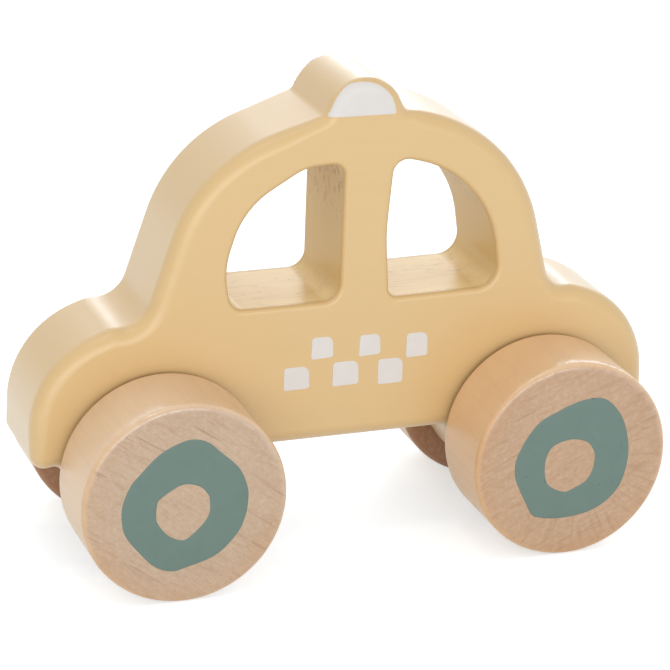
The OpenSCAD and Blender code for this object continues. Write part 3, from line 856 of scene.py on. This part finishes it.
class TAXI_OT_rings(bpy.types.Operator):
    """Paints a ring on the face of each wheel"""
    bl_idname = "taxi.rings"
    bl_label = "Painted rings"

    def execute(self, context):
        w, c = in_mm(context.scene.taxi_wheels), context.scene.taxi_finish
        angle = np.linspace(0, FULL_TURN, RING_STEPS, endpoint=False)
        rim = RING_RIM_SHARE * w.film
        lift = np.array([FILM_GAP, rim, w.film, w.film, w.film, rim, FILM_GAP])
        for end, axle in AXLES.items():
            big, small = (brushed(points, angle) for points in RINGS[end])
            radii = np.stack([big, big - RING_RIM, big - RING_SHOULDER, (big + small) / 2,
                              small + RING_SHOULDER, small + RING_RIM, small])
            teal = print_paint(f"grey_green_print_{end}", c.teal, c.front_face, RING_PITS[end])
            for side, hand in SIDES:
                points = around(axle, radii, hand * (w.inner_face + w.width + lift)).reshape(-1, 3)
                faces = grid_faces(len(radii), RING_STEPS, closed=True)
                top = faces[2 * RING_STEPS:4 * RING_STEPS]
                if not looks_along(points, top, (0, hand, 0)):
                    faces = faces[:, ::-1]
                add_piece(f"{end}_{side}_ring", points, faces, teal, f"{end}_wheelset",
                          [f"ring_{end}_{side}"], sharp=50)
        return {"FINISHED"}


def print_film(outline, path, b, hand, film, rows=8):
    """A thin closed sheet inside an outline that lies on a side of the board and follows its rounded edge.

    Rows of the outline shrink towards its middle. The upper side stands one film thickness off the board
    and runs down to it at the rim, and the lower side lies on the board.
    """
    middle = outline.mean(0)
    upper = np.concatenate([np.linspace(0, 0.9, rows)[1:], (0.95, 0.985, 1.0)])
    share = np.concatenate([upper, upper[-2::-1]])
    rim = 0.85 * film
    lift = np.concatenate([np.full(rows, film), (rim, FILM_GAP), np.full(rows + 1, FILM_GAP)])
    xz = middle + share[:, None, None] * (outline - middle)
    y = hand * (side_y(xz[..., 0], xz[..., 1], path, b.thickness) + lift[:, None])
    rings = np.stack([xz[..., 0], y, xz[..., 1]], -1)
    x, z = middle
    wood = side_y(middle[:1], middle[1:], path, b.thickness)[0]
    points, faces = capped(rings, (x, hand * (wood + film), z), (x, hand * (wood + FILM_GAP), z), hand)
    return tilted_light(points, b), faces


def print_ground(context):
    """What both prints share: sizes and outline of the board, thickness and paint of the film."""
    b, c = in_mm(context.scene.taxi_board), context.scene.taxi_finish
    film = in_mm(context.scene.taxi_wheels).film
    white = print_paint("white_print", c.white, c.yellow, pits=0.0)
    return b, rounded(board_corners(b)), film, white


class TAXI_OT_checks(bpy.types.Operator):
    """Prints six checks on each door"""
    bl_idname = "taxi.checks"
    bl_label = "Printed checks"

    def execute(self, context):
        b, path, film, white = print_ground(context)
        low_front, low_rear, high_front = CHECK_CORNERS
        for side, hand in SIDES:
            points, faces = [], []
            start = 0
            for front, rear, low, high, lean, high_rear in CHECKS:
                corners = [(front, low, low_front, 0), (rear, low + lean, low_rear, 0),
                           (rear - lean, high, high_rear, 0), (front + lean, high, high_front, 0)]
                outline = rounded(corners, turn_step=math.radians(10), side_step=0.5)[0]
                made, made_faces = print_film(outline, path, b, hand, film)
                points.append(made)
                faces += [[i + start for i in face] for face in made_faces]
                start += len(made)
            add_piece(f"{side}_checks", np.concatenate(points), faces, white, "car", [f"checks_{side}"],
                      sharp=50)
        return {"FINISHED"}


class TAXI_OT_light_print(bpy.types.Operator):
    """Prints the white half disc on each side of the roof light"""
    bl_idname = "taxi.light_print"
    bl_label = "Roof light print"

    def execute(self, context):
        b, path, film, white = print_ground(context)
        lower, upper = LIGHT_PRINT[:2], LIGHT_PRINT[2:]
        corners = [(x, z, LIGHT_PRINT_CORNER, 0) for x, z in lower]
        corners += [(x, z, LIGHT_PRINT_ROUND, 0) for x, z in upper]
        outline = rounded(corners, turn_step=math.radians(5), side_step=0.4)[0]
        for side, hand in SIDES:
            points, faces = print_film(outline, path, b, hand, film, rows=14)
            add_piece(f"{side}_light_print", points, faces, white, "car", [f"light_patch_{side}"],
                      sharp=60)
        return {"FINISHED"}


def in_view(tree):
    """A value that is 1 for rays from the camera, in reflections and through glass, and otherwise 0."""
    rays = tree.nodes.new("ShaderNodeLightPath")
    shown = rays.outputs["Is Camera Ray"]
    for ray in ("Is Glossy Ray", "Is Transmission Ray"):
        either = tree.nodes.new("ShaderNodeMath")
        either.operation = "MAXIMUM"
        tree.links.new(shown, either.inputs[0])
        tree.links.new(rays.outputs[ray], either.inputs[1])
        shown = either.outputs[0]
    return shown


class TAXI_OT_stage(bpy.types.Operator):
    """Sets up the camera, the floor and the soft light"""
    bl_idname = "taxi.stage"
    bl_label = "Stage"

    def execute(self, context):
        scene = context.scene
        s = scene.taxi_stage
        scene.view_settings.view_transform = "Standard"
        self.camera(scene)
        self.floor(scene, s)
        self.sky(scene, s)
        self.lamp(scene, "top_light", s.top, s.cool, place=(-0.2, 1.05, 0.95), span=(1.4, 0.7))
        self.lamp(scene, "rim_light", s.rim, s.white, place=(-0.25, -0.15, 1.05), span=(0.16, 0.16))
        self.lamp(scene, "back_light", s.back, s.cool, place=(0.77, 1.47, 0.55), span=(1.4, 0.5))
        self.lamp(scene, "narrow_light", s.narrow, s.cool, place=(0.62, 1.55, 0.6), span=(0.25, 0.35))
        self.lamp(scene, "front_light", s.front, s.white, place=(-0.25, -1.35, 0.3), span=(1.8, 0.58),
                  aim=0.04)
        return {"FINISHED"}

    def camera(self, scene):
        """A long lens at the photograph's angle. Its axes come from its yaw, pitch and roll."""
        yaw, pitch, roll = 0.3457, 0.3564, 0.0259
        level = Vector((math.cos(yaw), -math.sin(yaw), 0))
        forward = Vector((math.sin(yaw), math.cos(yaw), 0))
        ahead = forward * math.cos(pitch) - Vector((0, 0, math.sin(pitch)))
        above = level.cross(ahead)
        right = level * math.cos(roll) + above * math.sin(roll)
        up = above * math.cos(roll) - level * math.sin(roll)
        data = bpy.data.cameras.new("camera")
        data.lens = 163.2
        data.sensor_width = 36
        camera = bpy.data.objects.new("camera", data)
        camera.matrix_world = Matrix((right, up, -ahead)).transposed().to_4x4()
        camera.location = (-0.18918, -0.52792, 0.24803)
        scene.collection.objects.link(camera)
        scene.camera = camera

    def floor(self, scene, s):
        """A level pale floor. To the camera it is lifted to white, and it keeps the toy's shadow."""
        mesh = bpy.data.meshes.new("floor")
        reach = 4.0
        corners = [(-reach, -reach, 0), (reach, -reach, 0), (reach, reach, 0), (-reach, reach, 0)]
        mesh.from_pydata(corners, [], [(0, 1, 2, 3)])
        floor = bpy.data.objects.new("floor", mesh)
        scene.collection.objects.link(floor)
        f = Finish("pale_floor")
        shown = in_view(f.material.node_tree)
        f.finish(Base_Color=f.mix(shown, s.floor, s.seen_floor), Roughness=0.9, Specular_IOR_Level=0.0,
                 Emission_Color=(*s.glow, 1), Emission_Strength=f.times(shown, s.glow_strength))
        mesh.materials.append(f.material)

    def sky(self, scene, s):
        """Even light from all around, which looks white to the camera and in reflections."""
        world = bpy.data.worlds.new("studio")
        world.use_nodes = True
        scene.world = world
        tree = world.node_tree
        level = tree.nodes.new("ShaderNodeMix")
        tree.links.new(in_view(tree), level.inputs[0])
        level.inputs[2].default_value = s.sky
        level.inputs[3].default_value = 1.0
        back = tree.nodes["Background"]
        back.inputs["Color"].default_value = (1, 1, 1, 1)
        tree.links.new(level.outputs[0], back.inputs["Strength"])

    def lamp(self, scene, name, power, colour, place, span, aim=0.05):
        """A soft light of a given width and height, in metres, that looks at a point above the origin."""
        data = bpy.data.lights.new(name, "AREA")
        data.shape = "RECTANGLE"
        data.size, data.size_y = span
        data.energy = power
        data.color = colour
        lamp = bpy.data.objects.new(name, data)
        lamp.location = place
        lamp.rotation_mode = "QUATERNION"
        lamp.rotation_quaternion = (Vector((0, 0, aim)) - Vector(place)).to_track_quat("-Z", "Y")
        scene.collection.objects.link(lamp)


class TAXI_PT_panel(bpy.types.Panel):
    """Lists the pieces and their sizes and colours"""
    bl_label = "Wooden toy taxi"
    bl_idname = "TAXI_PT_panel"
    bl_space_type = "VIEW_3D"
    bl_region_type = "UI"
    bl_category = "Taxi"

    def draw(self, context):
        for title, group in GROUPS.items():
            box = self.layout.box()
            box.label(text=title)
            settings = getattr(context.scene, group)
            for key in setting_keys(settings):
                box.prop(settings, key)
        for operator in OPERATORS:
            self.layout.operator(operator.bl_idname)


GROUPS = {"Board": "taxi_board", "Wheels": "taxi_wheels", "Finish": "taxi_finish", "Stage": "taxi_stage"}
SETTINGS = (TaxiBoard, TaxiWheels, TaxiFinish, TaxiStage)
OPERATORS = (TAXI_OT_stage, TAXI_OT_board, TAXI_OT_axles, TAXI_OT_wheels, TAXI_OT_rings, TAXI_OT_checks,
             TAXI_OT_light_print)
CLASSES = SETTINGS + OPERATORS + (TAXI_PT_panel,)


def register():
    for made in CLASSES:
        bpy.utils.register_class(made)
    for name, group in zip(GROUPS.values(), SETTINGS):
        setattr(bpy.types.Scene, name, PointerProperty(type=group))


def unregister():
    for name in GROUPS.values():
        delattr(bpy.types.Scene, name)
    for made in reversed(CLASSES):
        bpy.utils.unregister_class(made)


def main():
    register()
    bpy.ops.taxi.stage()
    bpy.ops.taxi.board()
    bpy.ops.taxi.axles()
    bpy.ops.taxi.wheels()
    bpy.ops.taxi.rings()
    bpy.ops.taxi.checks()
    bpy.ops.taxi.light_print()


if __name__ == "__main__":
    main()
